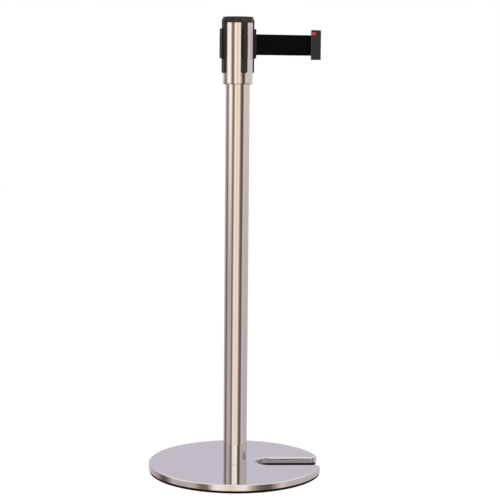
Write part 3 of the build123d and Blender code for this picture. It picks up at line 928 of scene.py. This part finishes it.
# %% Belt
belt_start, belt_end_x = 0.0160, 0.1710
belt_thick, belt_round = 0.0005, 0.00012
guide_x, turn_to_reel = 0.0270, 65.7
bpy.ops.object.select_all(action="DESELECT")
bpy.ops.mesh.primitive_grid_add(x_subdivisions=180, y_subdivisions=14, size=1.0,
                                location=((belt_start + belt_end_x) / 2, 0.0, belt_middle),
                                rotation=(math.pi / 2, 0.0, 0.0))
belt = bpy.context.object
belt.name = "webbing_belt"
belt.scale = (belt_end_x - belt_start, 2 * belt_half, 1.0)
keep_place(belt)
choose(belt, "VERT", lambda v: v.co.x < guide_x)
bpy.ops.transform.rotate(value=math.radians(turn_to_reel), orient_axis="Z",
                         center_override=(guide_x, 0.0, belt_middle))
leave()
inner_end = min(belt.data.vertices, key=lambda v: v.co.x).co
print("belt starts at:", [round(c, 4) for c in inner_end])
use(belt, "SOLIDIFY", thickness=belt_thick, offset=0.0)
choose(belt, "FACE", lambda f: abs(f.normal.z) > 0.9)
bpy.ops.mesh.bevel(offset=belt_round, segments=2, affect="EDGES")
leave()
turned(belt, head_turn)
smooth(belt, 40)
belt.data.materials.append(webbing)
belt.visible_glossy = False
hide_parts("belt")
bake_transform(belt)

# %% [markdown]
# ## The belt end
#
# The belt ends in a moulded block of two shells, screwed together. Its outer upright corners are
# well rounded, its others only a little. A channel with two lips runs up its far side and takes
# the rail of another post, and a slit lets the belt in. Both shells come from one design, and
# the front one only reaches further in over the belt. So one function shapes a whole block from
# its inner edge, and each shell is one half of such a block, cut with a bisect.

# %% Belt end block
back_in, front_in, end_out = 0.1682, 0.1649, 0.1852
end_half = 0.0074
end_low, end_high = 0.852, 0.913
channel_in, channel_out = 0.1802, 0.1830
channel_half, channel_mouth = 0.0049, 0.0024
channel_top = 0.9110
outer_round, inner_round = 0.0024, 0.0012
loop_x, loop_radius = 0.1727, 0.0023
slit_half, slit_play = 0.00045, 0.0002
slit_low = belt_middle - belt_half - slit_play
slit_high = belt_middle + belt_half + slit_play


def end_block(name, inner):
    """The whole block from its inner edge outwards, with its channel and slit."""
    shell = block(name, (inner, -end_half, end_low), (end_out, end_half, end_high))
    round_off(shell, lambda e: along_z(e) and middle(e).x > end_out - 1e-4, outer_round, 6)
    round_off(shell, lambda e: along_z(e) and middle(e).x < inner + 1e-4, inner_round, 4)
    channel_parts = [
        ((channel_in, -channel_half), (channel_out, channel_half)),
        ((channel_out - 0.0005, -channel_mouth), (end_out + 0.002, channel_mouth)),
    ]
    for low, high in channel_parts:
        combine(shell, block("channel", (*low, end_low - 0.005), (*high, channel_top)))
    slit_start = (inner - 0.005, -slit_half, slit_low)
    combine(shell, block("slit", slit_start, (loop_x, slit_half, slit_high)))
    loop = round_bar("loop", loop_radius, slit_low, slit_high, (loop_x, 0.0), 32)
    return combine(shell, loop)


front = end_block("end_shell_front", front_in)
back = end_block("end_shell_back", back_in)
print("block corners:", len(front.data.vertices), len(back.data.vertices))

# %% [markdown]
# The front half also has the window for the red lock lever, open round its inner corner, and a
# hollow behind it for the arm.

# %% Front and back shells
lever_low, lever_high = 0.8980, 0.9085
lever_in, lever_out = 0.1647, 0.1717
lever_play = 0.0004
pocket_out, pocket_back = 0.1829, -0.0034
pocket_front, window_front = -0.0066, -0.0095


def keep_half(piece, side):
    """Keep one half of a block, cut at the belt's plane and closed again."""
    choose(piece, "FACE", lambda f: True)
    bpy.ops.mesh.bisect(plane_co=(0.0, 0.0, 0.0), plane_no=(0.0, side, 0.0), use_fill=True,
                        clear_inner=True)
    leave()


keep_half(front, -1.0)
keep_half(back, 1.0)
pocket_in, window_out = lever_in - lever_play, lever_out + lever_play
pocket_low, pocket_high = lever_low - lever_play, lever_high + lever_play
hollows = {"pocket": (pocket_front, pocket_out), "window": (window_front, window_out)}
for name, (hollow_front, hollow_out) in hollows.items():
    low, high = (pocket_in, hollow_front, pocket_low), (hollow_out, pocket_back, pocket_high)
    combine(front, block(name, low, high))
for half, node in ((front, "belt_end_front"), (back, "belt_end_back")):
    soften(half, 0.00030)
    turned(half, head_turn)
    smooth(half, 35)
    finish_piece(half, "belt_end", charcoal, node)

# %% [markdown]
# ## The lock lever
#
# A press on the red pad swings the lever about an upright pin, and its far end lets go of the
# rail. The pad wraps round the inner corner of the block. It has a ridge across its middle: the
# part above leans back to the light, and the part below turns away from it and looks darker,
# and its finish also paints it a dark red as shade.
# Behind the pad are the barrel on the pin and the arm with its nose.

# %% Lock lever
pivot, barrel_radius, bore_radius = (0.1784, -0.0049), 0.0015, 0.00095
lever_front, lever_back = -0.0082, -0.0063
lip, lip_reach = 0.0010, 0.0007
low_lean, high_lean = 0.0015, 0.0007
lever = block("red_lever", (lever_in, lever_front, lever_low), (lever_out, lever_back, lever_high))
cuts = [((0.0, 0.0, pad_ridge), (0.0, 0.0, 1.0)), ((lever_in + lip, 0.0, 0.0), (1.0, 0.0, 0.0))]
for place, normal in cuts:
    choose(lever, "FACE", lambda f: True)
    bpy.ops.mesh.bisect(plane_co=place, plane_no=normal)
    leave()
choose(lever, "FACE", lambda f: f.normal.y > 0.9 and f.calc_center_median().x < lever_in + lip)
bpy.ops.mesh.extrude_region_move(TRANSFORM_OT_translate={"value": (0.0, lip_reach, 0.0)})
leave()
for height, lean in ((lever_low, low_lean), (lever_high, high_lean)):
    choose(lever, "VERT", lambda v: v.co.y < lever_front + 1e-4 and abs(v.co.z - height) < touch)
    bpy.ops.transform.translate(value=(0.0, lean, 0.0))
    leave()
soften(lever, 0.0003, 3)
barrel = round_bar("barrel", barrel_radius, lever_low, lever_high, pivot, 32)
combine(barrel, round_bar("bore", bore_radius, lever_low - 0.001, lever_high + 0.001, pivot, 24))
web = block("web", (0.1712, -0.0064, lever_low), (0.1776, -0.0052, lever_high))
arm = block("arm", (0.1797, -0.0058, lever_low), (0.1826, -0.0050, lever_high))
nose = block("nose", (0.1817, -0.0051, 0.9010), (0.1826, -0.0042, 0.9050))
for part in (web, barrel, arm, nose):
    combine(lever, part, "UNION")
turned(lever, head_turn)
smooth(lever, 35)
finish_piece(lever, "lock_lever", signal_red, "lock_lever")

# %% [markdown]
# ## The lever spring
#
# A small coil behind the pad holds the lever out. A ring of wire could be swept along a helix,
# but the Screw modifier does the same in one step: it turns the ring and lifts it at once.

# %% Lever spring
coil_radius, wire = 0.0016, 0.0002
coil_turns = 4
spring_seat = Vector((0.1684, -0.00365, (lever_low + lever_high) / 2))
spring_length = 0.0024
bpy.ops.object.select_all(action="DESELECT")
bpy.ops.mesh.primitive_circle_add(vertices=10, radius=wire, location=(coil_radius, 0.0, 0.0),
                                  rotation=(math.pi / 2, 0.0, 0.0))
spring = bpy.context.object
spring.name = "lever_spring"
keep_place(spring)
use(spring, "SCREW", screw_offset=spring_length / coil_turns, iterations=coil_turns, steps=28,
    render_steps=28, use_merge_vertices=False)
only(spring)
bpy.ops.object.mode_set(mode="EDIT")
bpy.ops.mesh.select_all(action="SELECT")
bpy.ops.mesh.fill_holes(sides=0)
leave()
spring.rotation_euler.x = math.pi / 2
spring.location = spring_seat
keep_place(spring)
turned(spring, head_turn)
smooth(spring, 60)
finish_piece(spring, "belt_end", spring_steel, "lock_spring")
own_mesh(spring)

# %% [markdown]
# ## Shell screws
#
# Two small screws hold the shells together from behind. Each has a flat round head with a
# cross-shaped recess, cut by two thin blocks, and the second screw is a copy of the first.

# %% Screws
screw_x = 0.1774
first_height, second_height = 0.858, 0.889
screw_head_y, screw_tip_y = 0.0060, -0.0050
head_top = end_half - 0.0001
head_radius, shank_radius = 0.0022, 0.00125
recess_long, recess_thin, recess_depth = 0.0013, 0.00025, 0.0009


def lying_bar(name, radius, near, far, height):
    """A cylinder that lies across the belt end."""
    bpy.ops.object.select_all(action="DESELECT")
    bpy.ops.mesh.primitive_cylinder_add(
        vertices=32,
        radius=radius,
        depth=far - near,
        location=(screw_x, (near + far) / 2, height),
        rotation=(math.pi / 2, 0.0, 0.0),
    )
    bpy.context.object.name = name
    return keep_place(bpy.context.object)


screw = lying_bar("shell_screw_low", head_radius, screw_head_y, head_top, first_height)
round_off(screw, lambda e: abs(middle(e).y - head_top) < touch, 0.0003, 3)
shank = lying_bar("shank", shank_radius, screw_tip_y, screw_head_y + 0.0004, first_height)
combine(screw, shank, "UNION")
for wide, tall in ((recess_long, recess_thin), (recess_thin, recess_long)):
    recess = block("recess", (screw_x - wide, end_half - recess_depth, first_height - tall),
                   (screw_x + wide, end_half + 0.001, first_height + tall))
    combine(screw, recess)
other = twin(screw, "shell_screw_high")
other.location.z = second_height - first_height
keep_place(other)
for piece in (screw, other):
    turned(piece, head_turn)
    smooth(piece, 35)
    finish_piece(piece, "belt_end", zinc, "shell_screws")
